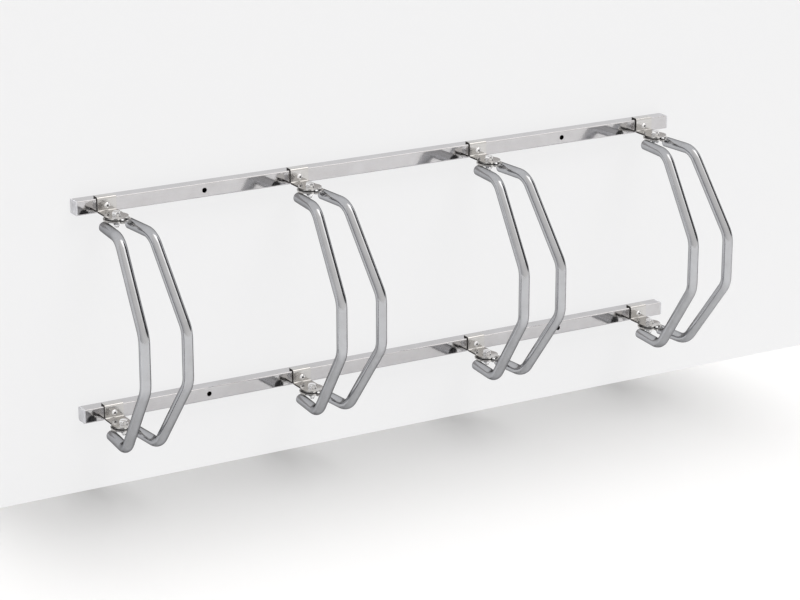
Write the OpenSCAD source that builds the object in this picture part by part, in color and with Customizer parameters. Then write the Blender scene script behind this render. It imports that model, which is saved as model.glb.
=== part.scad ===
// Wall-mounted bike rack for four bicycles, in millimetres.
// Two square rails carry eight folded brackets. Each pair of brackets, one above the other,
// is the hinge of a wheel hoop: two bent tubes that splay like a V and hold a wheel between them.
// X runs along the wall, +Y points into the wall, +Z is up. The rails' backs lie on the wall, y = 0,
// and the origin is the centre of the four wall holes.

/* [Rails] */
// Side of the square rail
rail_w = 25; // [20:0.5:30]
// Wall of the rail
rail_wall = 1.5; // [1:0.25:2]
// Outer corner radius of the rail
rail_corner = 2; // [1.5:0.25:3]
// Height between the centre lines of the two rails
rail_spacing = 370; // [340:5:450]
// Rail that stands out past the outer hoops' pivots
rail_overhang = 52.5; // [40:0.5:80]
// Thickness of the end caps' heads
cap_head = 2.5; // [2:0.5:4]
// Depth that the end caps reach into the rail
cap_depth = 14; // [10:1:20]
// Diameter of the four wall holes
wall_hole_d = 9; // [7:0.5:11]

/* [Brackets] */
// Distance between neighbouring hoops
hoop_pitch = 365; // [360:5:500]
// Width of the bracket's strip
bracket_w = 35; // [32:0.5:38]
// Thickness of the bracket's strip
bracket_t = 3; // [2.5:0.25:4]
// Inner radius of the bracket's two folds
fold_r = 1.5; // [1:0.25:2]
// Length of the flange that lies on the rail
flange_l = 13; // [10:0.5:16]
// Height of the tab's upper face below the rail's centre line
tab_drop = 8.5; // [8:0.25:10]
// Distance of the pivot from the rail's front face
pivot_out = 40; // [36:1:48]
// Radius of the disc that the tab ends in
tab_r = 20.5; // [19:0.25:22]

/* [Wheel hoops] */
// Outer diameter of the hoop tubes
tube_d = 19; // [17:0.5:20]
// Wall of the hoop tubes
tube_wall = 1.5; // [1:0.25:2]
// Centre distance of the two tubes beside the pivot
tube_spread = 46.5; // [46:0.25:50]
// Angle that each tube splays outwards
tube_splay = 4.75; // [2:0.25:8]
// Radius of the four bends, on the tube's centre line
bend_r = 40; // [30:1:50]
// Distance from the pivot to the corner of the level run
run_reach = 78; // [70:1:90]
// Distance from the pivot to the upright stretch
hoop_reach = 183.5; // [165:0.5:195]
// Height between the two corners of the upright stretch
upright_h = 92; // [70:1:120]
// Gap between the pivot line and the tubes' rear ends
tube_back = 2; // [1:0.5:6]

/* [Swivel plates] */
// Radius of the swivel plate
plate_r = 22.5; // [21:0.25:23]
// Thickness of the swivel plate
plate_t = 3; // [2.5:0.25:4]
// Depth that the tube's crest is let into the underside of the plate
weld_seat = 0.7; // [0.4:0.1:1]
// Play above and below the swivel plate
swivel_play = 0.2; // [0.1:0.05:0.3]
// Shank of the guide pin
pin_d = 4; // [3:0.25:4.5]
// Head of the guide pin, and the bush below it
pin_head_d = 6; // [5:0.25:7]
// Height of the guide pin's domed head
pin_head_h = 2.4; // [1.8:0.1:3]
// Height of the bush between the plate and the head
bush_h = 2.3; // [2:0.1:3]
// Gap between the head and the tab's round end
pin_gap = 0.75; // [0.5:0.05:1.5]
// Metal that shows round the bush
pin_land = 1; // [0.5:0.25:2]

/* [Fasteners] */
// Shank of the pivot bolt
bolt_d = 8; // [6:0.5:9]
// Width across flats of the bolt head and of the nut
bolt_af = 13; // [12:0.5:14]
// Height of the bolt head
bolt_head_h = 5.3; // [4:0.1:6]
// Length of bolt that shows below the nut
bolt_tail = 3; // [1:0.5:5]
// Radial play of the bolt in the swivel plate
bolt_play = 0.05; // [0.02:0.01:0.08]
// Radial play of the bolts and screws in their clearance holes
hole_play = 0.2; // [0.1:0.05:0.4]
// Outer diameter of the steel washers
washer_d = 16; // [15:0.5:18]
// Thickness of the steel washers
washer_t = 1.6; // [1:0.1:2]
// How far the friction washer stays back from the tab's round end
friction_inset = 1; // [0.5:0.25:4]
// Thickness of the friction washer
friction_t = 1.5; // [1:0.1:2.5]
// Height of the nut's hexagon
nut_h = 6; // [5:0.25:7]
// Height of the nut's locking collar
collar_h = 2; // [1.5:0.25:3]
// Shank of the bracket screw
screw_d = 6; // [5:0.5:6]
// Head of the bracket screw
screw_head_d = 10.5; // [9.5:0.25:12]
// Height of the bracket screw's domed head
screw_head_h = 3.3; // [2.5:0.1:4]
// Length of the bracket screw below its head
screw_l = 16; // [14:1:18]
// Hexagon socket across flats
socket_af = 4; // [3:0.5:4]
// Depth of the hexagon socket
socket_depth = 2; // [1.5:0.1:2.2]
// Body of the rivet nut inside the rail
rivet_d = 9; // [8:0.25:9.5]
// Length of the rivet nut
rivet_l = 14; // [12:0.5:16]
// How far the rivet nut's collar stands out behind the rail's wall
rivet_bulge = 1.75; // [1:0.25:2.5]
// Height of that collar
rivet_bulge_h = 3; // [2:0.25:4]

/* [Hidden] */
// Number of hoops, which the node names follow
hoop_n = 4;
// Overrun of every cut past the face that it leaves
over = 1;
// Facets of round stretches in the preview
fine = 64;
coarse = 40;

rail_l = (hoop_n - 1) * hoop_pitch + 2 * rail_overhang;
rail_inner = rail_w - 2 * rail_wall;
rail_inner_corner = rail_corner - rail_wall;
rail_z = rail_spacing / 2;
wall_hole_x = (hoop_n / 2 - 1) * hoop_pitch;
pivot_y = rail_w + pivot_out;

// Heights of the stack on the pivot bolt, from the rail's centre line
tab_top = -tab_drop;
tab_bottom = tab_top - bracket_t;
plate_top = tab_bottom - friction_t - swivel_play;
plate_bottom = plate_top - plate_t;
nut_washer_top = plate_bottom - swivel_play;
nut_top = nut_washer_top - washer_t;
bolt_end = nut_top - nut_h - collar_h - bolt_tail;
tube_r = tube_d / 2;
run_z = plate_bottom + weld_seat - tube_r;

// The hoop's outline: the fall from the level run to the upright stretch
fall_out = hoop_reach - run_reach;
fall_down = (rail_spacing - upright_h) / 2;
fall_l = sqrt(fall_out * fall_out + fall_down * fall_down);
run_bend = atan(fall_down / fall_out);
knee_bend = 90 - run_bend;
run_setback = bend_r * tan(run_bend / 2);
knee_setback = bend_r * tan(knee_bend / 2);
run_l = run_reach - run_setback - tube_back;
bend_lap = 0.4;
bend_swell = 0.06;

fold_outer = fold_r + bracket_t;
friction_d = 2 * (tab_r - friction_inset);
pin_head_r = pin_head_d / 2;
pin_ring = tab_r + pin_gap + pin_head_r;

// Cap and plug details
cap_fit = 0.3;
cap_wall = 2;
rib_n = 3;
rib_h = 1;
plug_head = 2;
plug_depth = 12;
plug_fit = 0.3;
pin_rim = 0.8;
head_chamfer = 0.8;
collar_inset = 0.9;
collar_round = 0.6;
screw_rim = 0.6;

steel = "gainsboro";
bright = "silver";
zinc = "lightgray";
black = "dimgray";
pale = "whitesmoke";

// Places of the hoops along the rail, and of a pivot on the upper (1) or the lower (-1) rail
function hoop_x(i) = (i - (hoop_n + 1) / 2) * hoop_pitch;

module at_rail(side) {
    translate([0, 0, side * rail_z]) children();
}

module at_pivot(i, side) {
    translate([hoop_x(i), -pivot_y, side * rail_z]) children();
}

module at_every_pivot() {
    for (i = [1 : hoop_n], side = [1, -1]) at_pivot(i, side) children();
}

// The same places on the front faces of the rails, turned so that +Z stands out of the wall
module at_every_screw() {
    for (i = [1 : hoop_n], side = [1, -1]) {
        at_rail(side) translate([hoop_x(i), -rail_w, 0]) rotate([90, 0, 0]) children();
    }
}

// A square with round corners, centred, drawn exactly from two bars and four discs
module round_square(side, corner) {
    inner = side - 2 * corner;
    square([side, inner], center = true);
    square([inner, side], center = true);
    for (x = [-1, 1], y = [-1, 1]) {
        translate([x * inner / 2, y * inner / 2]) circle(corner, $fn = fine);
    }
}

// A bar along X whose section is drawn in the rail's own Y and Z
module along_rail(length) {
    rotate([90, 0, 90]) linear_extrude(length, center = true) children();
}

module ring(outer_d, inner_d, height) {
    linear_extrude(height) difference() {
        circle(d = outer_d, $fn = fine);
        circle(d = inner_d, $fn = fine);
    }
}

// A hexagon prism with its outer corners turned off at one end
module hex_prism(across, height, chamfer) {
    corner_d = across / cos(30);
    intersection() {
        cylinder(d = corner_d, h = height, $fn = 6);
        union() {
            cylinder(d = corner_d, h = height - chamfer, $fn = fine);
            translate([0, 0, height - chamfer])
                cylinder(d1 = corner_d, d2 = corner_d - 2 * chamfer, h = chamfer, $fn = fine);
        }
    }
}

// Square tube with four bracket holes in its front wall and two wall holes right through
module rail(side) {
    at_rail(side) difference() {
        translate([0, -rail_w / 2, 0]) along_rail(rail_l) difference() {
            round_square(rail_w, rail_corner);
            round_square(rail_inner, rail_inner_corner);
        }
        for (x = [-wall_hole_x, wall_hole_x]) {
            translate([x, over, 0]) rotate([90, 0, 0])
                cylinder(d = wall_hole_d, h = rail_w + 2 * over, $fn = fine);
        }
        for (i = [1 : hoop_n]) {
            translate([hoop_x(i), -rail_w / 2, 0]) rotate([90, 0, 0])
                cylinder(d = rivet_d, h = rail_w / 2 + over, $fn = fine);
        }
    }
}

// Moulded end cap: a head as wide as the rail and a hollow plug with gripping ribs
module rail_cap(side, end) {
    plug_w = rail_inner - 2 * cap_fit;
    step = cap_depth / (rib_n + 1);
    at_rail(side) translate([end * rail_l / 2, -rail_w / 2, 0]) mirror([end < 0 ? 1 : 0, 0, 0]) {
        translate([cap_head / 2, 0, 0]) along_rail(cap_head) round_square(rail_w, rail_corner);
        translate([-cap_depth / 2, 0, 0]) along_rail(cap_depth) difference() {
            round_square(plug_w, rail_inner_corner);
            square(plug_w - 2 * cap_wall, center = true);
        }
        for (k = [1 : rib_n]) {
            translate([-k * step, 0, 0]) along_rail(rib_h) difference() {
                round_square(rail_inner, rail_inner_corner);
                square(plug_w - 2 * cap_wall, center = true);
            }
        }
    }
}

// Threaded inserts in the rail's front wall, with the collar that the rivet tool has folded
module rivet_nuts() {
    at_every_screw() mirror([0, 0, 1]) {
        ring(rivet_d, screw_d, rivet_l);
        translate([0, 0, rail_wall]) ring(rivet_d + 2 * rivet_bulge, screw_d, rivet_bulge_h);
    }
}

// Section of the bracket's strip, drawn with x as the distance from the wall and y as height:
// flange on the rail, upper fold, front plate, lower fold and tab
module strip_section() {
    front = rail_w + bracket_t;
    top = rail_w / 2;
    fold_x = front - fold_outer;
    fold_y = top + bracket_t - fold_outer;
    low_x = rail_w + fold_outer;
    low_y = tab_bottom + fold_outer;
    translate([rail_w - flange_l, top]) square([fold_x - rail_w + flange_l, bracket_t]);
    translate([rail_w, low_y]) square([bracket_t, fold_y - low_y]);
    translate([low_x, tab_bottom]) square([pivot_y + bracket_w - low_x, bracket_t]);
    translate([fold_x, fold_y]) intersection() {
        difference() {
            circle(fold_outer, $fn = fine);
            circle(fold_r, $fn = fine);
        }
        square(fold_outer);
    }
    translate([low_x, low_y]) intersection() {
        difference() {
            circle(fold_outer, $fn = fine);
            circle(fold_r, $fn = fine);
        }
        translate([-fold_outer, -fold_outer]) square(fold_outer);
    }
}

// Plan of the bracket: the strip, and the disc about the pivot that it ends in
module strip_plan() {
    translate([-bracket_w / 2, -pivot_y]) square([bracket_w, pivot_y]);
    translate([0, -pivot_y]) circle(tab_r, $fn = fine);
}

module bracket(i, side) {
    translate([hoop_x(i), 0, side * rail_z]) difference() {
        intersection() {
            rotate([90, 0, -90]) linear_extrude(2 * (tab_r + over), center = true) strip_section();
            translate([0, 0, -rail_w]) linear_extrude(2 * rail_w) strip_plan();
        }
        translate([0, -pivot_y, tab_bottom - over])
            cylinder(d = bolt_d + 2 * hole_play, h = bracket_t + 2 * over, $fn = fine);
        translate([0, -rail_w + over, 0]) rotate([90, 0, 0])
            cylinder(d = screw_d + 2 * hole_play, h = bracket_t + 2 * over, $fn = fine);
    }
}

// Domed screw with a hexagon socket, head towards +Z from the origin
module button_screw() {
    dome_h = screw_head_h - screw_rim;
    dome_r = (pow(screw_head_d / 2, 2) + dome_h * dome_h) / (2 * dome_h);
    difference() {
        union() {
            cylinder(d = screw_head_d, h = screw_rim, $fn = fine);
            intersection() {
                translate([0, 0, screw_head_h - dome_r]) sphere(dome_r, $fn = fine);
                cylinder(d = screw_head_d, h = screw_head_h, $fn = fine);
            }
            translate([0, 0, -screw_l]) cylinder(d = screw_d, h = screw_l + screw_rim, $fn = fine);
        }
        translate([0, 0, screw_head_h - socket_depth])
            cylinder(d = socket_af / cos(30), h = socket_depth + over, $fn = 6);
    }
}

module bracket_screws() {
    at_every_screw() translate([0, 0, bracket_t]) button_screw();
}

// Hexagon bolt that is the hinge pin: head above the tab, tail below the nut
module pivot_bolt(i, side) {
    at_pivot(i, side) {
        translate([0, 0, bolt_end]) cylinder(d = bolt_d, h = tab_top + washer_t - bolt_end, $fn = fine);
        translate([0, 0, tab_top + washer_t]) hex_prism(bolt_af, bolt_head_h, head_chamfer);
    }
}

module bolt_washers() {
    at_every_pivot() translate([0, 0, tab_top]) ring(washer_d, bolt_d, washer_t);
}

module friction_washers() {
    at_every_pivot() translate([0, 0, tab_bottom - friction_t]) ring(friction_d, bolt_d, friction_t);
}

module nut_washers() {
    at_every_pivot() translate([0, 0, nut_washer_top - washer_t]) ring(washer_d, bolt_d, washer_t);
}

// Locking nut: a hexagon with a round collar below it
module lock_nuts() {
    collar_d = bolt_af - 2 * collar_inset;
    at_every_pivot() translate([0, 0, nut_top]) mirror([0, 0, 1]) difference() {
        union() {
            hex_prism(bolt_af, nut_h, head_chamfer);
            cylinder(d = collar_d, h = nut_h + collar_h - collar_round, $fn = fine);
            translate([0, 0, nut_h + collar_h - collar_round])
                cylinder(d1 = collar_d, d2 = collar_d - 2 * collar_round, h = collar_round, $fn = fine);
        }
        translate([0, 0, -over]) cylinder(d = bolt_d, h = nut_h + collar_h + 2 * over, $fn = fine);
    }
}

// Wall of the tube as a ring, grown by the swell on both of its faces
module tube_ring(swell) {
    difference() {
        circle(tube_r + swell, $fn = coarse);
        circle(tube_r - tube_wall - swell, $fn = coarse);
    }
}

// The tube's path, walked like a turtle: each step draws its stretch and hands its end on.
// The straight stretches lap a little way into the bends, whose wall is a hair thicker.
module straight(length, start_lap, end_lap) {
    translate([0, 0, -start_lap]) linear_extrude(start_lap + length + end_lap) tube_ring(0);
    translate([0, 0, length]) children();
}

module bend(angle) {
    translate([bend_r, 0, 0]) rotate([90, 0, 180])
        rotate_extrude(angle = angle, $fn = fine) translate([bend_r, 0]) rotate(180) tube_ring(bend_swell);
    translate([bend_r * (1 - cos(angle)), 0, bend_r * sin(angle)]) rotate([0, angle, 0]) children();
}

// Level run, bend, fall, knee, upright stretch, knee, fall, bend and level run
module hoop_path() {
    straight(run_l, 0, bend_lap)
    bend(run_bend)
    straight(fall_l - run_setback - knee_setback, bend_lap, bend_lap)
    bend(knee_bend)
    straight(upright_h - 2 * knee_setback, bend_lap, bend_lap)
    bend(knee_bend)
    straight(fall_l - run_setback - knee_setback, bend_lap, bend_lap)
    bend(run_bend)
    straight(run_l, bend_lap, 0);
}

// Puts the start of a tube beside the pivot: hand is 1 for the right tube and -1 for the left one
module at_tube(hand, side) {
    translate([hand * tube_spread / 2, 0, side * rail_z + run_z]) rotate([0, 0, hand * tube_splay])
        translate([0, -tube_back, 0]) children();
}

module hoop_tube(i, hand) {
    translate([hoop_x(i), -pivot_y, 0]) at_tube(hand, 1) rotate([90, 0, 0]) rotate([0, 0, -90])
        hoop_path();
}

// Round plate with an ear for the guide pin, coped where it sits on the two tubes
module swivel_plate(i, side) {
    translate([hoop_x(i), -pivot_y, 0]) difference() {
        translate([0, 0, side * rail_z + plate_bottom]) linear_extrude(plate_t) difference() {
            union() {
                circle(plate_r, $fn = fine);
                translate([0, -pin_ring]) circle(pin_head_r + pin_land, $fn = fine);
            }
            circle(bolt_d / 2 + bolt_play, $fn = fine);
            translate([0, -pin_ring]) circle(d = pin_d, $fn = fine);
        }
        for (hand = [-1, 1]) at_tube(hand, side) rotate([90, 0, 0])
            cylinder(r = tube_r, h = run_l, $fn = coarse);
    }
}

// Domed pin that is pressed into the plate's ear and runs round the tab's disc
module guide_pins(i) {
    head_z = plate_t + bush_h;
    dome_h = pin_head_h - pin_rim;
    dome_r = (pin_head_r * pin_head_r + dome_h * dome_h) / (2 * dome_h);
    for (side = [1, -1]) {
        at_pivot(i, side) translate([0, -pin_ring, plate_bottom]) {
            cylinder(d = pin_d, h = head_z + pin_rim, $fn = fine);
            translate([0, 0, head_z]) intersection() {
                cylinder(r = pin_head_r, h = pin_head_h, $fn = fine);
                translate([0, 0, pin_head_h - dome_r]) sphere(dome_r, $fn = fine);
            }
            translate([0, 0, head_z]) cylinder(r = pin_head_r, h = pin_rim, $fn = fine);
        }
    }
}

// Plastic sleeve round the pin, between the plate and the pin's head
module pin_bushes(i) {
    for (side = [1, -1]) {
        at_pivot(i, side) translate([0, -pin_ring, plate_top]) ring(pin_head_d, pin_d, bush_h);
    }
}

// Ribbed plug that closes the rear end of a tube
module tube_plug() {
    bore_r = tube_r - tube_wall;
    dome_r = (tube_r * tube_r + plug_head * plug_head) / (2 * plug_head);
    step = plug_depth / (rib_n + 1);
    mirror([0, 0, 1]) intersection() {
        translate([0, 0, plug_head - dome_r]) sphere(dome_r, $fn = fine);
        cylinder(r = tube_r, h = plug_head, $fn = fine);
    }
    cylinder(r = bore_r - plug_fit, h = plug_depth, $fn = fine);
    for (k = [1 : rib_n]) translate([0, 0, k * step - rib_h]) cylinder(r = bore_r, h = rib_h, $fn = fine);
}

module tube_plugs(i) {
    for (side = [1, -1], hand = [-1, 1]) {
        translate([hoop_x(i), -pivot_y, 0]) at_tube(hand, side) rotate([90, 0, 0]) tube_plug();
    }
}

color(steel) rail(1);  // top_rail
color(steel) rail(-1);  // bottom_rail
color(pale) rail_cap(1, -1);  // top_rail_cap_left
color(pale) rail_cap(1, 1);  // top_rail_cap_right
color(pale) rail_cap(-1, -1);  // bottom_rail_cap_left
color(pale) rail_cap(-1, 1);  // bottom_rail_cap_right
color(zinc) bracket_screws();
color(zinc) rivet_nuts();
color(zinc) bolt_washers();
color(black) friction_washers();
color(zinc) nut_washers();
color(zinc) lock_nuts();
for (i = [1 : hoop_n]) {
    color(steel) bracket(i, 1);
    color(steel) bracket(i, -1);
    color(zinc) pivot_bolt(i, 1);
    color(zinc) pivot_bolt(i, -1);
    color(bright) hoop_tube(i, -1);
    color(bright) hoop_tube(i, 1);
    color(steel) swivel_plate(i, 1);
    color(steel) swivel_plate(i, -1);
    color(zinc) guide_pins(i);
    color(black) pin_bushes(i);
    color(black) tube_plugs(i);
}
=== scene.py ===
"""Wall-mounted bike rack: four wheel hoops of bent steel tube swivel on brackets that are screwed to two
square steel rails. Metres, +X along the wall, +Y into the wall, +Z up, origin at the centre of the holes."""
import math

import bmesh
import bpy
import numpy as np
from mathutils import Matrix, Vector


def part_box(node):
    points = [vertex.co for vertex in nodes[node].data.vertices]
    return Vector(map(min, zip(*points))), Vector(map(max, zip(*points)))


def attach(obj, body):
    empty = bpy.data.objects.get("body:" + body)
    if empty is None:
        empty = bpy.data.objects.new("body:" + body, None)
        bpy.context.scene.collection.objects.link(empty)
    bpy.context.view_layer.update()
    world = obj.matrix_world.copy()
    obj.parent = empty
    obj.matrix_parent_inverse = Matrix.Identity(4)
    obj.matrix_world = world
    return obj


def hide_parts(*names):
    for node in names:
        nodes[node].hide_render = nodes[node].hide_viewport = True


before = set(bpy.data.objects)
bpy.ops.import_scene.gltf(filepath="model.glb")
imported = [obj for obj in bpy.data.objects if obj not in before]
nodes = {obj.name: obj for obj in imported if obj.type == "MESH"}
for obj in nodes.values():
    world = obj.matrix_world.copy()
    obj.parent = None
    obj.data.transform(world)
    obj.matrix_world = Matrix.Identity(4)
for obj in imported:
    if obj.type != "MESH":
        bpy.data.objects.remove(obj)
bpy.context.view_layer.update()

# Rails. Two square tubes of stainless steel, polished along their length, so the fine grain runs with X. The
# thin wall is drawn a little uneven, which makes reflections waver. Each is screwed flat to the wall.

stain_scale, stain_marks, stain_tint = 30.0, (0.34, 0.62), (0.90, 0.895, 0.885)
grain_share, stained_roughness, clean_roughness = 0.4, 1.25, 0.8
swell_scale, swell_height, grain_height = 14.0, 0.0004, 0.000002
# Painted shade: the dark colour and roughness painted where a face's attribute cut is one, for shade in gaps
# and recesses.
painted_shade_colour, painted_shade_roughness = (0.030, 0.026, 0.023), 0.5


def add_node(tree, kind, **values):
    """A shader node whose sockets or settings take the given values."""
    made = tree.nodes.new(kind)
    for key, value in values.items():
        if hasattr(made, key):
            setattr(made, key, value)
        else:
            made.inputs[key.replace("_", " ")].default_value = value
    return made


def bare_steel(name, colour, roughness, grain, relief, wave, on_uv=False, metal=1.0, painted_shade=False, edge=1.0):
    """Bare steel: fine grain from noise stretched along the piece, which varies roughness and relief, wide
    soft stains, which vary the colour, and a slow waviness of the surface. Grain is its frequency per metre.
    Painted shade: with it on, the steel is painted dark and dull where the mesh's attribute cut is one, for
    shade in gaps and recesses. Edge is the share of light that a grazing view gets back, below one for steel."""
    mat = bpy.data.materials.new(name)
    mat.use_nodes = True
    tree = mat.node_tree
    link = tree.links.new
    shader = tree.nodes["Principled BSDF"]
    shader.inputs["Metallic"].default_value = metal
    shader.inputs["Specular Tint"].default_value = (edge, edge, edge, 1)
    place = add_node(tree, "ShaderNodeTexCoord")
    stretch = add_node(tree, "ShaderNodeMapping", Scale=grain)
    link(place.outputs["UV" if on_uv else "Object"], stretch.inputs["Vector"])
    lines = add_node(tree, "ShaderNodeTexNoise", Scale=1.0, Detail=4.0, Roughness=0.6)
    link(stretch.outputs["Vector"], lines.inputs["Vector"])
    stains = add_node(tree, "ShaderNodeTexNoise", Scale=stain_scale, Detail=5.0, Roughness=0.6)
    link(place.outputs["Object"], stains.inputs["Vector"])
    swell = add_node(tree, "ShaderNodeTexNoise", Scale=swell_scale, Detail=1.0, Roughness=0.4)
    link(place.outputs["Object"], swell.inputs["Vector"])

    both = add_node(tree, "ShaderNodeMix", data_type="FLOAT")
    both.inputs[0].default_value = grain_share
    link(stains.outputs["Fac"], both.inputs[2])
    link(lines.outputs["Fac"], both.inputs[3])
    tint = add_node(tree, "ShaderNodeValToRGB")
    stained, clean = tint.color_ramp.elements
    stained.position, clean.position = stain_marks
    stained.color = tuple(c * t for c, t in zip(colour, stain_tint)) + (1,)
    clean.color = (*colour, 1)
    link(both.outputs[0], tint.inputs["Fac"])
    rough = add_node(tree, "ShaderNodeMapRange", From_Min=0.35, From_Max=0.65,
                     To_Min=roughness * stained_roughness, To_Max=roughness * clean_roughness)
    link(both.outputs[0], rough.inputs["Value"])
    if painted_shade:
        # Painted shade, read from the mesh's attribute cut.
        cut = add_node(tree, "ShaderNodeAttribute", attribute_name="cut")
        painted_dark = add_node(tree, "ShaderNodeMix", data_type="RGBA")
        painted_dark.inputs[7].default_value = (*painted_shade_colour, 1)
        link(cut.outputs["Fac"], painted_dark.inputs[0])
        link(tint.outputs["Color"], painted_dark.inputs[6])
        link(painted_dark.outputs[2], shader.inputs["Base Color"])
        dull = add_node(tree, "ShaderNodeMix", data_type="FLOAT")
        dull.inputs[3].default_value = painted_shade_roughness
        link(cut.outputs["Fac"], dull.inputs[0])
        link(rough.outputs["Result"], dull.inputs[2])
        link(dull.outputs[0], shader.inputs["Roughness"])
    else:
        link(tint.outputs["Color"], shader.inputs["Base Color"])
        link(rough.outputs["Result"], shader.inputs["Roughness"])

    slow = add_node(tree, "ShaderNodeBump", Strength=wave, Distance=swell_height)
    link(swell.outputs["Fac"], slow.inputs["Height"])
    fine = add_node(tree, "ShaderNodeBump", Strength=relief, Distance=grain_height)
    link(lines.outputs["Fac"], fine.inputs["Height"])
    link(slow.outputs["Normal"], fine.inputs["Normal"])
    link(fine.outputs["Normal"], shader.inputs["Normal"])
    return mat


def dress(mat, *names):
    """Gives the material to every slot of the named CAD nodes."""
    for name in names:
        for slot in nodes[name].material_slots:
            slot.material = mat


rail_steel = bare_steel("rail steel, polished lengthways", (0.60, 0.592, 0.605), 0.08, (12, 2200, 2200),
                        0.4, 0.5)
dress(rail_steel, "top_rail", "bottom_rail")

# Rail end caps. Square caps of light grey polyethylene, moulded with the fine pebbled grain of a spark-eroded
# mould, and pushed into the rails' ends until their heads meet the steel.

mm = 0.001
cap_ease = 0.5 * mm
cloud_scale, cloud_marks, cloud_share = 60.0, (0.3, 0.7), 0.86
pebble_swing, pebble_height = 0.15, 0.00003
merge_reach, flat_turn, edge_turn = 2e-6, math.radians(0.6), math.radians(35)


def moulded_plastic(name, colour, roughness, grain=1500.0, relief=0.25):
    """Moulded plastic: an even colour with faint clouds, and the fine pebbled grain of an eroded mould."""
    mat = bpy.data.materials.new(name)
    mat.use_nodes = True
    tree = mat.node_tree
    link = tree.links.new
    shader = tree.nodes["Principled BSDF"]
    place = add_node(tree, "ShaderNodeTexCoord")
    clouds = add_node(tree, "ShaderNodeTexNoise", Scale=cloud_scale, Detail=3.0)
    link(place.outputs["Object"], clouds.inputs["Vector"])
    tint = add_node(tree, "ShaderNodeValToRGB")
    low, high = tint.color_ramp.elements
    low.position, high.position = cloud_marks
    low.color = tuple(c * cloud_share for c in colour) + (1,)
    high.color = (*colour, 1)
    link(clouds.outputs["Fac"], tint.inputs["Fac"])
    link(tint.outputs["Color"], shader.inputs["Base Color"])
    pebbles = add_node(tree, "ShaderNodeTexVoronoi", Scale=grain)
    link(place.outputs["Object"], pebbles.inputs["Vector"])
    rough = add_node(tree, "ShaderNodeMapRange", From_Min=0.0, From_Max=1.0,
                     To_Min=roughness * (1 - pebble_swing), To_Max=roughness * (1 + pebble_swing))
    link(pebbles.outputs["Distance"], rough.inputs["Value"])
    link(rough.outputs["Result"], shader.inputs["Roughness"])
    bump = add_node(tree, "ShaderNodeBump", Strength=relief, Distance=pebble_height)
    link(pebbles.outputs["Distance"], bump.inputs["Height"])
    link(bump.outputs["Normal"], shader.inputs["Normal"])
    return mat


def finished(name, mesh, mat, body, slot, *replaced):
    """Puts a mesh into the scene as a piece that rides on a body, and hides the CAD nodes it stands for."""
    piece = bpy.data.objects.new(name, mesh)
    bpy.context.scene.collection.objects.link(piece)
    mesh.materials.clear()
    mesh.materials.append(mat)
    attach(piece, body)
    if replaced:
        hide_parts(*replaced)
    return piece


def eased(node, mat, body, slot, radius, dark=None):
    """The CAD node's own shape with its sharp edges eased: the loose triangles are merged, flat neighbours
    are joined, every edge that turns more than 35 degrees gets a round of up to the given radius, narrower
    all over the piece where two would overlap, and flat faces keep flat shading. The function dark gives
    each face its attribute cut, its share of painted shade, from zero, none, to one, full."""
    work = bmesh.new()
    work.from_mesh(nodes[node].data)
    bmesh.ops.remove_doubles(work, verts=work.verts, dist=merge_reach)
    bmesh.ops.dissolve_limit(work, angle_limit=flat_turn, verts=work.verts, edges=work.edges)
    sharp = [e for e in work.edges if len(e.link_faces) == 2 and e.calc_face_angle() > edge_turn]
    bmesh.ops.bevel(work, geom=sharp, offset=radius, segments=2, profile=0.5, affect="EDGES",
                    clamp_overlap=True)
    bmesh.ops.triangulate(work, faces=work.faces)
    picked = [dark(face) if dark else 0.0 for face in work.faces]
    for face in work.faces:
        face.smooth = True
    mesh = bpy.data.meshes.new(node + "_eased")
    work.to_mesh(mesh)
    work.free()
    # The attribute cut holds each face's painted shade.
    cut = mesh.attributes.new("cut", "FLOAT", "FACE")
    cut.data.foreach_set("value", np.array(picked, dtype=np.float32))
    piece = finished(node + "_eased", mesh, mat, body, slot, node)
    flat = piece.modifiers.new("flat faces stay flat", "WEIGHTED_NORMAL")
    flat.weight = 100
    return piece


cap_plastic = moulded_plastic("light grey end caps", (0.55, 0.555, 0.58), 0.42)
for side in ("top", "bottom"):
    for end in ("left", "right"):
        eased(f"{side}_rail_cap_{end}", cap_plastic, "wall_frame", "cap_plastic", cap_ease)

# Brackets. Strips of 3 mm stainless plate, laser cut, tumbled until no edge is sharp, and folded twice. Each
# is screwed to the rail's front, with its short flange on top, and its disc carries a pivot. The edges that
# face along the rail are painted dark: painted shade for the shadowed gap beside each bracket.

hoops = (1, 2, 3, 4)
bracket_ease = 0.2 * mm
# Painted shade starts where a face's normal points along the rail by more than this share.
shade_from = 0.7


def gap_edge_shade(face):
    """How much painted shade a face gets: the part of its normal that points along the rail, less the mark,
    over what is left above the mark, and never below zero."""
    return max(0.0, (abs(face.normal.x) - shade_from) / (1 - shade_from))


bracket_steel = bare_steel("bracket plate, cross-ground", (0.62, 0.61, 0.60), 0.12, (60, 1400, 1400),
                           0.5, 0.5, painted_shade=True)
for side in ("top", "bottom"):
    for i in hoops:
        eased(f"{side}_bracket_{i}", bracket_steel, "wall_frame", "plate_steel", bracket_ease, dark=gap_edge_shade)

# Bracket screws. Domed M6 screws with a hexagon socket, zinc plated and passivated white, turned tight into
# rivet nuts that are set into the rails' front walls.

fastener_steel = bare_steel("white zinc plating", (0.93, 0.93, 0.94), 0.16, (500, 500, 500), 0.4, 0.1,
                            metal=0.60, painted_shade=True)
hoop_pitch, rail_z, socket_r = 365 * mm, 185 * mm, 1.9 * mm
screw_ease = 0.12 * mm


def in_socket(face):
    """Whether a face of the screws lies within a socket, which gets painted shade."""
    middle = face.calc_center_median()
    across = (middle.x / hoop_pitch % 1 - 0.5) * hoop_pitch
    return math.hypot(across, abs(middle.z) - rail_z) < socket_r


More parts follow.
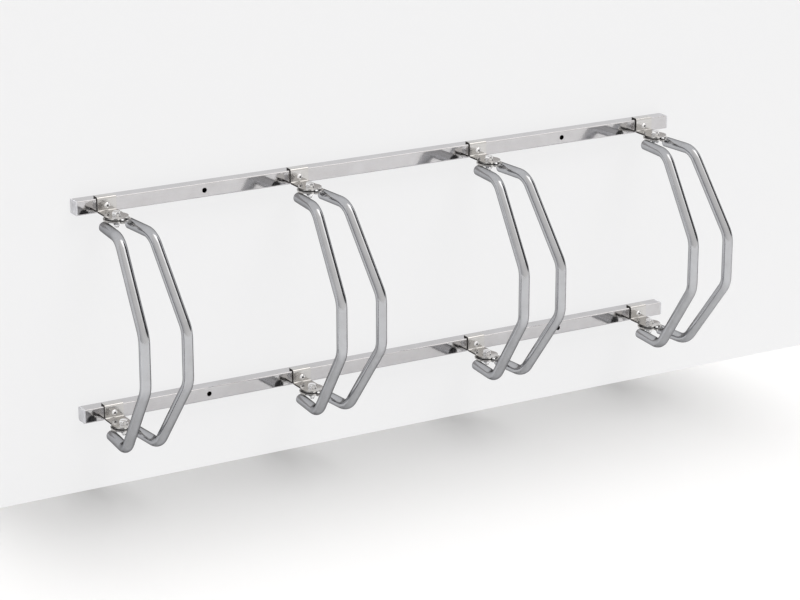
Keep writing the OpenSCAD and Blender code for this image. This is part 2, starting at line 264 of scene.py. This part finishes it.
# Painted shade darkens the screws' hexagon sockets.
eased("bracket_screws", fastener_steel, "wall_frame", "zinc_hardware", screw_ease, dark=in_socket)
dress(fastener_steel, "rivet_nuts")

# Pivot bolts. M8 hexagon bolts of bright zinc-plated steel that are the hinge pins: a forged head, turned off
# at its corners and dished on top, a plain shank, and a rolled thread on the last stretch for the lock nut.

bolt_steel = bare_steel("bright zinc on machined steel", (0.92, 0.92, 0.93), 0.09, (500, 500, 500), 0.4, 0.1)
pivot_y, middle_hoop = -65 * mm, 2.5
bolt_r, bolt_flat, around_bolt = 4.0 * mm, 13.0 * mm, 72
thread_pitch, thread_depth, thread_steps = 1.25 * mm, 0.686 * mm, 10
run_out_length, crest_flat = 0.6 * mm, 0.125
crown_share, crown_steps = 0.955, np.array([0.0, 0.08, 0.18, 0.28, 0.40, 0.52, 0.66, 0.85]) * mm
head_ring, head_ring_share, head_foot_share = 0.2 * mm, 0.93, 0.95
dish_depth, dish_share, dish_floor_share = 0.12 * mm, 0.90, 0.86
washer_thick, thread_end_depth = 1.6 * mm, 3 * mm
sharp_turn, seam_reach = math.radians(38), 1e-7


def pivot_place(i, level):
    """Where the pivot axis of hoop i passes the given height."""
    return np.array([(i - middle_hoop) * hoop_pitch, pivot_y, level])


def grid_mesh(name, grid, wrap_rows=False, uv=None):
    """A mesh from a grid of points, rows by columns, whose columns close on themselves and, for a ring-shaped
    solid, whose rows do too. Poles and seams are merged, and the faces turned outwards."""
    rows, columns, _ = grid.shape
    last = rows if wrap_rows else rows - 1
    r, c = np.meshgrid(np.arange(last), np.arange(columns), indexing="ij")
    below, right = (r + 1) % rows, (c + 1) % columns
    corners = [r * columns + c, r * columns + right, below * columns + right, below * columns + c]
    mesh = bpy.data.meshes.new(name)
    mesh.from_pydata(grid.reshape(-1, 3), [], np.stack(corners, -1).reshape(-1, 4))
    if uv is not None:
        across, along = uv
        u = np.stack([across[c], across[c + 1], across[c + 1], across[c]], -1)
        v = np.stack([along[r], along[r], along[r + 1], along[r + 1]], -1)
        layer = mesh.uv_layers.new(name="around and along")
        layer.data.foreach_set("uv", np.stack([u, v], -1).ravel())
    work = bmesh.new()
    work.from_mesh(mesh)
    bmesh.ops.remove_doubles(work, verts=work.verts, dist=seam_reach)
    bmesh.ops.recalc_face_normals(work, faces=work.faces)
    for face in work.faces:
        face.smooth = True
    work.to_mesh(mesh)
    work.free()
    mesh.set_sharp_from_angle(angle=sharp_turn)
    return mesh


def hexagon(angle, flat):
    """Distance from the centre to a hexagon's side, in the given direction: half the width across flats
    divided by the cosine of the angle to the middle of that side. A corner points along X."""
    return flat / 2 / np.cos((angle % (math.pi / 3)) - math.pi / 6)


def turned(rows, centre, wrap_rows=False):
    """A solid about a vertical axis. Each row is a height and a radius, where the radius may be a number or
    a function of the direction."""
    angle = np.arange(around_bolt) * 2 * math.pi / around_bolt
    height = np.array([z for z, _ in rows])
    radius = np.array([r(angle) if callable(r) else np.full(around_bolt, r) for _, r in rows])
    grid = np.stack([centre[0] + radius * np.cos(angle), centre[1] + radius * np.sin(angle),
                     np.broadcast_to(centre[2] + height[:, None], radius.shape)], -1)
    return grid_mesh("turned", grid, wrap_rows)


def hexagon_rows(flat, low, high, crown):
    """Rows of a hexagon prism from low to high whose corners are turned off at the ends that crown names: the
    radius is the smaller of the hexagon and a cone of 30 degrees that meets the end face inside the flats."""
    def limited(depth):
        cone = flat / 2 * crown_share + depth / math.tan(math.pi / 6)
        return lambda angle: np.minimum(hexagon(angle, flat), cone)

    def whole(angle):
        return hexagon(angle, flat)

    rows = [(low + d, limited(d)) for d in crown_steps] if "low" in crown else [(low, whole)]
    rows += [(high - d, limited(d)) for d in crown_steps[::-1]] if "high" in crown else [(high, whole)]
    return rows


def thread_rows(low, high):
    """Rows of a rolled thread: the radius falls from the crest to the root and back once per turn, following
    the height in pitches less the direction in turns, with crest and root flattened."""
    def cut(z):
        def radius(angle):
            phase = (z / thread_pitch - angle / (2 * math.pi)) % 1.0
            dip = np.clip((1 + 2 * crest_flat) * (1 - abs(2 * phase - 1)) - crest_flat, 0, 1)
            run_out = np.clip((z - low) / run_out_length, 0, 1)
            return bolt_r - thread_depth * np.maximum(dip, 1 - run_out)
        return radius
    return [(z, cut(z)) for z in np.arange(low, high, thread_pitch / thread_steps)]


low_corner, high_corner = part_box("top_pivot_bolt_1")
bolt_end, bolt_top = low_corner.z - rail_z, high_corner.z - rail_z
head_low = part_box("bolt_washers")[1].z - rail_z
nut_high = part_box("nut_washers")[1].z - rail_z - washer_thick
thread_top = nut_high - thread_end_depth
bolt_rows = [(bolt_end, 0.0)] + thread_rows(bolt_end, thread_top)
bolt_rows += [(thread_top, bolt_r), (head_low, bolt_r), (head_low, bolt_flat / 2 * head_ring_share),
              (head_low + head_ring, bolt_flat / 2 * head_foot_share)]
bolt_rows += hexagon_rows(bolt_flat, head_low + head_ring, bolt_top, "high")
bolt_rows += [(bolt_top, bolt_flat / 2 * dish_share),
              (bolt_top - dish_depth, bolt_flat / 2 * dish_floor_share), (bolt_top - dish_depth, 0.0)]
for side, level in (("top", rail_z), ("bottom", -rail_z)):
    for i in hoops:
        name = f"{side}_pivot_bolt_{i}"
        mesh = turned(bolt_rows, pivot_place(i, level))
        finished(name + "_threaded", mesh, bolt_steel, "wall_frame", "zinc_hardware", name)

# Washers and lock nuts. Plain washers stamped from zinc-plated sheet, their edges rounded by the punch, and
# nuts with a nylon ring crimped into the collar, which keeps the joint at the friction it is set to.

washer_ease = 0.2 * mm
hexagon_height, collar_height, collar_inset, collar_foot = 6 * mm, 2 * mm, 0.9 * mm, 0.15 * mm
collar_lip = ((0.8, 0.0), (0.35, -0.13), (0.08, -0.42), (0.0, -0.8), (0.1, -0.95), (0.7, -1.0))
nylon_outside = ((0.65, -1.02), (0.3, -1.02), (0.2, -1.1))
nylon_inside = ((0.25, 0.1), (0.4, -0.1), (0.65, -0.1))


def joined(name, *meshes):
    """One mesh of several."""
    work = bmesh.new()
    for mesh in meshes:
        work.from_mesh(mesh)
    whole = bpy.data.meshes.new(name)
    work.to_mesh(whole)
    work.free()
    whole.set_sharp_from_angle(angle=sharp_turn)
    return whole


def profile(low, radius, points):
    """Rows of heights above low and distances outside a radius, both given in millimetres."""
    return [(low + up * mm, radius + out * mm) for up, out in points]


eased("bolt_washers", bolt_steel, "wall_frame", "zinc_hardware", washer_ease)
eased("nut_washers", bolt_steel, "wall_frame", "zinc_hardware", washer_ease)
hexagon_low = nut_high - hexagon_height
collar_low = hexagon_low - collar_height
collar_r = bolt_flat / 2 - collar_inset
nut_rows = [(nut_high, bolt_r)] + hexagon_rows(bolt_flat, hexagon_low, nut_high, "low high")[::-1]
nut_rows += [(hexagon_low, collar_r + collar_foot), (hexagon_low - collar_foot, collar_r)]
nut_rows += profile(collar_low, collar_r, collar_lip)
nut_rows += [(nut_rows[-1][0], bolt_r)]
ring_rows = profile(collar_low, collar_r, nylon_outside) + profile(collar_low, bolt_r, nylon_inside)
places = [pivot_place(i, level) for level in (rail_z, -rail_z) for i in hoops]
nuts = joined("lock nuts", *[turned(nut_rows, place, wrap_rows=True) for place in places])
finished("lock_nuts_crowned", nuts, bolt_steel, "wall_frame", "zinc_hardware", "lock_nuts")
nylon = moulded_plastic("natural nylon", (0.72, 0.72, 0.68), 0.35, 900.0, 0.1)
rings = joined("lock nut rings", *[turned(ring_rows, place, wrap_rows=True) for place in places])
finished("lock_nut_rings", rings, nylon, "wall_frame", "friction_plastic")

# Friction washers. Discs punched from black nylon sheet. The bolt's tension holds them between the bracket's
# tab and the swivel plate, so that a hoop stays where it is turned to.

black_nylon = moulded_plastic("black nylon", (0.045, 0.045, 0.048), 0.32)
eased("friction_washers", black_nylon, "wall_frame", "friction_plastic", washer_ease)

# Hoop tubes. Stainless tube of 19 mm, bent four times in one plane and polished round and round with a belt,
# so the fine grain runs about the tube. A bend is pressed a little flat, as a bending die leaves it. Each
# hoop is two such tubes, which splay forwards from beside the pivots and are welded to the swivel plates.

tube_r, bore_r, bend_r = 9.5 * mm, 8.0 * mm, 40.0 * mm
bore_depth, mouth = 12.0 * mm, 0.3 * mm
tube_side, tube_splay, tube_start = 23.25 * mm, math.radians(4.75), 2.0 * mm
run_reach, hoop_reach = 78.0 * mm, 183.5 * mm
run_drop, fall_drop = 25.0 * mm, 139.0 * mm
bend_flat_share = 0.025
around_tube, along_bend = 64, 14


def bent_route(corners):
    """Points and headings along a polyline in a plane whose corners are arcs: each arc starts the bend's
    radius times the tangent of half its turn before the corner. Returns places, headings and how far into a
    bend each is."""
    corners = np.array(corners)
    leg = np.diff(corners, axis=0)
    heading = np.unwrap(np.arctan2(leg[:, 1], leg[:, 0]))
    turn = np.diff(heading)
    setback = bend_r * np.tan(np.abs(turn) / 2)
    unit = leg / np.linalg.norm(leg, axis=1)[:, None]
    places, headings, bends = [corners[:1]], [heading[:1]], [np.zeros(1)]
    share = np.linspace(0, 1, along_bend + 1)
    for k, corner in enumerate(corners[1:-1]):
        start = corner - unit[k] * setback[k]
        angle = heading[k] + turn[k] * share
        sign = np.sign(turn[k])
        middle = start + bend_r * sign * np.array([-unit[k][1], unit[k][0]])
        places.append(middle + bend_r * sign * np.stack([np.sin(angle), -np.cos(angle)], -1))
        headings.append(angle)
        bends.append(np.sin(math.pi * share) ** 0.5)
    places.append(corners[-1:])
    headings.append(heading[-1:])
    bends.append(np.zeros(1))
    return np.concatenate(places), np.concatenate(headings), np.concatenate(bends)


def hoop_tube(i, hand):
    """A ring carried along the bent route: each point of the ring stands off the route by the radius, split
    between the plane's normal and the route's own normal. Both ends turn in to a bore that a plug closes."""
    top, bottom = rail_z - run_drop, -rail_z - run_drop
    corners = [(tube_start, top), (run_reach, top), (hoop_reach, top - fall_drop),
               (hoop_reach, bottom + fall_drop), (run_reach, bottom), (tube_start, bottom)]
    place, heading, bent = bent_route(corners)
    inset = np.array([bore_depth, bore_depth, mouth, 0.0, 0.0, mouth])
    rim = np.array([0.0, bore_r, bore_r, bore_r + mouth, tube_r - mouth, tube_r])
    first = place[0] + inset[:, None] * np.array([1.0, 0.0])
    last = place[-1] + inset[::-1, None] * np.array([1.0, 0.0])
    place = np.concatenate([first, place[1:-1], last])
    heading = np.concatenate([np.full(len(rim), heading[0]), heading[1:-1], np.full(len(rim), heading[-1])])
    bent = np.concatenate([np.zeros(len(rim)), bent[1:-1], np.zeros(len(rim))])
    radius = np.concatenate([rim, np.full(len(place) - 2 * len(rim), tube_r), rim[::-1]])
    out = np.array([hand * math.sin(tube_splay), -math.cos(tube_splay), 0.0])
    side = np.array([math.cos(tube_splay), hand * math.sin(tube_splay), 0.0])
    up = np.array([0.0, 0.0, 1.0])
    foot = pivot_place(i, 0.0) + np.array([hand * tube_side, 0.0, 0.0])
    centre = foot + place[:, :1] * out + place[:, 1:] * up
    normal = -np.sin(heading)[:, None] * out + np.cos(heading)[:, None] * up
    angle = np.arange(around_tube) * 2 * math.pi / around_tube
    flat = (1 - bend_flat_share * bent) * radius
    grid = (centre[:, None] + (radius[:, None] * np.cos(angle))[..., None] * side
            + (flat[:, None] * np.sin(angle))[..., None] * normal[:, None])
    length = np.concatenate([[0.0], np.cumsum(np.linalg.norm(np.diff(place, axis=0), axis=1))])
    around = np.linspace(0, 2 * math.pi * tube_r, around_tube + 1)
    return grid_mesh("hoop tube", grid, uv=(around, length))


tube_steel = bare_steel("hoop tube, belt polished", (0.53, 0.536, 0.556), 0.13, (0, 1600, 0), 0.5, 0.12,
                        on_uv=True, edge=0.3)
for i in hoops:
    for hand, word in ((-1, "left"), (1, "right")):
        name = f"hoop_{i}_{word}_tube"
        finished(name + "_polished", hoop_tube(i, hand), tube_steel, f"hoop_{i}", "tube_steel", name)

# Swivel plates, laser cut from 3 mm plate, and the short welds that hold them to the tubes: one bead under
# the plate along the tube's inner flank, and one outside along the plate's rim. Each bead is rippled where
# the arc paused, and brushed.

swivel_ease = 0.3 * mm
plate_r, bead_r = 22.5 * mm, 1.35 * mm
ripple_share, ripple_length = 0.055, 1.3 * mm
around_bead, along_bead = 16, 36
flank_start, flank_length, flank_inset, flank_drop = 2.6 * mm, 8.4 * mm, 3.9 * mm, 0.3 * mm
rim_start, rim_sweep = math.radians(28), math.radians(26)
rim_proud, rim_height = 0.35 * mm, 1.0 * mm


def bead(path):
    """A weld bead: a round rope along a path, swelling as a fourth-power dome from its ends and rippled by a
    cosine of the distance along it."""
    step = np.linalg.norm(np.diff(path, axis=0), axis=1)
    along = np.concatenate([[0.0], np.cumsum(step)])
    share = along / along[-1]
    swell = np.clip(1 - (2 * share - 1) ** 4, 0, 1) ** 0.5
    radius = bead_r * swell * (1 + ripple_share * np.cos(2 * math.pi * along / ripple_length))
    ahead = np.gradient(path, axis=0)
    ahead /= np.linalg.norm(ahead, axis=1)[:, None]
    across = np.cross(ahead, [0.0, 0.0, 1.0])
    across /= np.linalg.norm(across, axis=1)[:, None]
    over = np.cross(across, ahead)
    angle = np.arange(around_bead) * 2 * math.pi / around_bead
    ring = np.cos(angle)[:, None] * across[:, None] + np.sin(angle)[:, None] * over[:, None]
    return grid_mesh("weld bead", path[:, None] + radius[:, None, None] * ring)


plate_steel = bare_steel("swivel plate", (0.62, 0.61, 0.60), 0.17, (60, 1400, 1400), 0.5, 0.3)
for i in hoops:
    for side in ("top", "bottom"):
        eased(f"hoop_{i}_{side}_plate", plate_steel, f"hoop_{i}", "plate_steel", swivel_ease)

plate_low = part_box("hoop_1_top_plate")[0].z - rail_z
weld_steel = bare_steel("weld bead, brushed", (0.60, 0.585, 0.57), 0.28, (900, 900, 900), 0.5, 0.3)
share = np.linspace(0, 1, along_bead)[:, None]
forward = flank_start + flank_length * share
flank_x = tube_side - flank_inset + forward * math.sin(tube_splay)
flank_z = np.full_like(share, plate_low - flank_drop)
angle = rim_start - rim_sweep * share
rim_x, rim_y = (plate_r + rim_proud) * np.cos(angle), -(plate_r + rim_proud) * np.sin(angle)
rim_z = np.full_like(share, plate_low + rim_height)
for i in hoops:
    beads = []
    for level in (rail_z, -rail_z):
        for hand in (-1, 1):
            under = np.concatenate([hand * flank_x, -forward, flank_z], 1)
            rim = np.concatenate([hand * rim_x, rim_y, rim_z], 1)
            beads += [bead(pivot_place(i, level) + under), bead(pivot_place(i, level) + rim)]
    finished(f"hoop_{i}_weld_beads", joined("weld beads", *beads), weld_steel, f"hoop_{i}", "tube_steel")

# Guide pins. Zinc-plated pins pressed into the plates' ears, each with a black nylon bush that runs round the
# tab's rim. Black plastic plugs close the tubes' rear ends.

plug_plastic = moulded_plastic("black tube plugs", (0.028, 0.028, 0.030), 0.45)
for i in hoops:
    dress(bolt_steel, f"hoop_{i}_guide_pins")
    dress(black_nylon, f"hoop_{i}_pin_bushes")
    dress(plug_plastic, f"hoop_{i}_tube_plugs")

# Wall and floor. A pale plastered wall and a white floor, each seen from its front only, so that the rack can
# be looked at from behind and from below. The camera, glass and metal see each plane's own white, with the
# lamp's soft shadows on it. On the floor a wide shadow below the rack is painted into the floor's white.

wall_gap, floor_z, reach = 0.5 * mm, -0.33, 5.0
lit_white, blue_lift = (0.86, 0.86, 0.865, 1), 1.005
wall_white, wall_lamp_share = 0.865, 0.10
floor_white, floor_lamp_share, floor_painted_shadow = 0.62, 0.48, 0.30
# The painted shadow's middle, its inner and outer reach to the sides, and its front and back edges.
shadow_middle, shadow_inner, shadow_outer = -0.07, 0.60, 0.90
shadow_front, shadow_back = -0.62, 0.02


def arithmetic(tree, operation, first, second=0.0):
    """A Math node on two sockets or numbers."""
    made = add_node(tree, "ShaderNodeMath", operation=operation)
    for socket, value in zip(made.inputs, (first, second)):
        if isinstance(value, (int, float)):
            socket.default_value = value
        else:
            tree.links.new(value, socket)
    return made.outputs[0]


def smooth_range(tree, value, low, high, at_low, at_high):
    """A smooth step: one number up to the low mark, another from the high mark on."""
    made = add_node(tree, "ShaderNodeMapRange", interpolation_type="SMOOTHSTEP", From_Min=low, From_Max=high,
                    To_Min=at_low, To_Max=at_high)
    tree.links.new(value, made.inputs["Value"])
    return made.outputs["Result"]


def mixed(tree, share, first, second):
    """A mix of two shaders by a share, which is a number or a socket."""
    made = add_node(tree, "ShaderNodeMixShader")
    if isinstance(share, float):
        made.inputs["Fac"].default_value = share
    else:
        tree.links.new(share, made.inputs["Fac"])
    tree.links.new(first, made.inputs[1])
    tree.links.new(second, made.inputs[2])
    return made.outputs[0]


def pale_plane(name, corners, white, lamp_share, painted_shadow=0.0):
    """A one-sided plane that shows its own white, mixed with the given share of lamp light, to the camera
    and in metal and glass, and is a plain diffuse plane for all other light. The painted shadow is a shade
    painted below the rack: the plane loses that share of its white along the wall, and none of it at the
    shadow's front."""
    mesh = bpy.data.meshes.new(name)
    mesh.from_pydata(corners, [], [(0, 1, 2, 3)])
    plane = bpy.data.objects.new(name, mesh)
    bpy.context.scene.collection.objects.link(plane)
    mat = bpy.data.materials.new(name)
    mat.use_nodes = True
    tree = mat.node_tree
    tree.nodes.clear()
    link = tree.links.new
    lit = add_node(tree, "ShaderNodeBsdfDiffuse", Color=lit_white)
    own = add_node(tree, "ShaderNodeEmission", Color=(white, white, white * blue_lift, 1))
    # Painted shadow: the floor's own white and its lit colour are darkened below the rack.
    if painted_shadow:
        place = add_node(tree, "ShaderNodeSeparateXYZ")
        link(add_node(tree, "ShaderNodeTexCoord").outputs["Object"], place.inputs[0])
        aside = arithmetic(tree, "ABSOLUTE", arithmetic(tree, "ADD", place.outputs["X"], -shadow_middle))
        by_x = smooth_range(tree, aside, shadow_inner, shadow_outer, painted_shadow, 0.0)
        by_y = smooth_range(tree, place.outputs["Y"], shadow_front, shadow_back, 0.0, 1.0)
        left_over = arithmetic(tree, "SUBTRACT", 1.0, arithmetic(tree, "MULTIPLY", by_x, by_y))
        link(left_over, own.inputs["Strength"])
        link(left_over, lit.inputs["Color"])
    ray = add_node(tree, "ShaderNodeLightPath").outputs
    direct = arithmetic(tree, "MAXIMUM", ray["Is Camera Ray"], ray["Is Transmission Ray"])
    direct = arithmetic(tree, "MAXIMUM", direct, ray["Is Glossy Ray"])
    shown = mixed(tree, 1 - lamp_share, lit.outputs[0], own.outputs[0])
    front = mixed(tree, direct, lit.outputs[0], shown)
    clear = add_node(tree, "ShaderNodeBsdfTransparent")
    facing = add_node(tree, "ShaderNodeNewGeometry")
    out = add_node(tree, "ShaderNodeOutputMaterial")
    link(mixed(tree, facing.outputs["Backfacing"], front, clear.outputs[0]), out.inputs["Surface"])
    mesh.materials.append(mat)


pale_plane("wall", [(-reach, wall_gap, floor_z), (reach, wall_gap, floor_z), (reach, wall_gap, reach),
                    (-reach, wall_gap, reach)], wall_white, wall_lamp_share)
pale_plane("floor", [(-reach, -reach, floor_z), (reach, -reach, floor_z), (reach, wall_gap, floor_z),
                     (-reach, wall_gap, floor_z)], floor_white, floor_lamp_share, painted_shadow=floor_painted_shadow)

# Studio. A pale room that is lighter in front, above and to the right than low down at the left, with a soft
# box overhead at the right and a dark screen beside it, and one wide lamp above that throws the floor's soft
# shadows.

room_level = 0.56
room_tilt = (0.18, -0.36, 0.10)
room_bend = ((0.10, 0.04, -0.10), (0.04, 0.00, 0.15), (-0.10, 0.15, 0.29))
soft_box, soft_inner, soft_outer, soft_gain = (0.45, -0.10, 0.88), 10, 34, 1.30
low_left, low_inner, low_outer, low_shade = (-0.60, 0.40, -0.70), 10, 42, 0.35
screen, screen_inner, screen_outer, screen_shade = (0.88, -0.14, 0.46), 26, 28, 0.96
lamp_strength, lamp_width, lamp_lean, lamp_roll = 1.7, 30, 25, 15

world = bpy.data.worlds.new("studio")
bpy.context.scene.world = world
world.use_nodes = True
tree = world.node_tree
tree.nodes.clear()
link = tree.links.new
toward = add_node(tree, "ShaderNodeTexCoord").outputs["Generated"]


def dot(other):
    """Dot product of the direction with a fixed vector or another socket."""
    made = add_node(tree, "ShaderNodeVectorMath", operation="DOT_PRODUCT")
    link(toward, made.inputs[0])
    if isinstance(other, tuple):
        made.inputs[1].default_value = other
    else:
        link(other, made.inputs[1])
    return made.outputs["Value"]


def spot(direction, inner, outer):
    """One inside the inner angle about a direction, falling smoothly to zero at the outer angle."""
    length = math.sqrt(sum(c * c for c in direction))
    near = dot(tuple(c / length for c in direction))
    return smooth_range(tree, near, math.cos(math.radians(outer)), math.cos(math.radians(inner)), 0.0, 1.0)


def shaded(light, direction, inner, outer, share):
    """The light less a share of itself within a spot: light times one minus share times spot."""
    lost = arithmetic(tree, "MULTIPLY", spot(direction, inner, outer), share)
    return arithmetic(tree, "MULTIPLY", light, arithmetic(tree, "SUBTRACT", 1.0, lost))


curved = add_node(tree, "ShaderNodeCombineXYZ")
for axis, row in enumerate(room_bend):
    link(dot(row), curved.inputs[axis])
slope = arithmetic(tree, "ADD", dot(room_tilt), dot(curved.outputs[0]))
box_light = arithmetic(tree, "MULTIPLY", spot(soft_box, soft_inner, soft_outer), soft_gain)
light = arithmetic(tree, "ADD", arithmetic(tree, "ADD", slope, room_level), box_light)
light = shaded(light, low_left, low_inner, low_outer, low_shade)
light = shaded(light, screen, screen_inner, screen_outer, screen_shade)
room = add_node(tree, "ShaderNodeBackground")
hue = add_node(tree, "ShaderNodeValToRGB")
cool, warm = hue.color_ramp.elements
cool.position, warm.position = 0.25, 0.85
cool.color, warm.color = (0.95, 0.965, 1.03, 1), (1.02, 1.0, 0.975, 1)
link(light, hue.inputs["Fac"])
link(hue.outputs["Color"], room.inputs["Color"])
link(light, room.inputs["Strength"])
out = add_node(tree, "ShaderNodeOutputWorld")
link(room.outputs[0], out.inputs["Surface"])

lamp = bpy.data.objects.new("overhead lamp", bpy.data.lights.new("overhead lamp", "SUN"))
lamp.data.energy = lamp_strength
lamp.data.angle = math.radians(lamp_width)
lamp.rotation_euler = (math.radians(lamp_lean), math.radians(lamp_roll), 0)
lamp.visible_glossy = False
bpy.context.scene.collection.objects.link(lamp)

# Camera, at the photograph's viewing angle: to the left of the rack and above it, far off with a long lens,
# turned 30 degrees to the right and 18 degrees down.

camera_tilt, camera_turn, camera_lens, film_width = 0.3118, 0.5235, 117.57, 36.0
camera = bpy.data.objects.new("camera", bpy.data.cameras.new("camera"))
camera.location = (-2.2302, -3.9250, 1.3770)
camera.rotation_euler = (math.pi / 2 - camera_tilt, 0, -camera_turn)
camera.data.sensor_width = film_width
camera.data.lens = camera_lens
bpy.context.scene.collection.objects.link(camera)
bpy.context.scene.camera = camera
bpy.context.scene.view_settings.view_transform = "Standard"
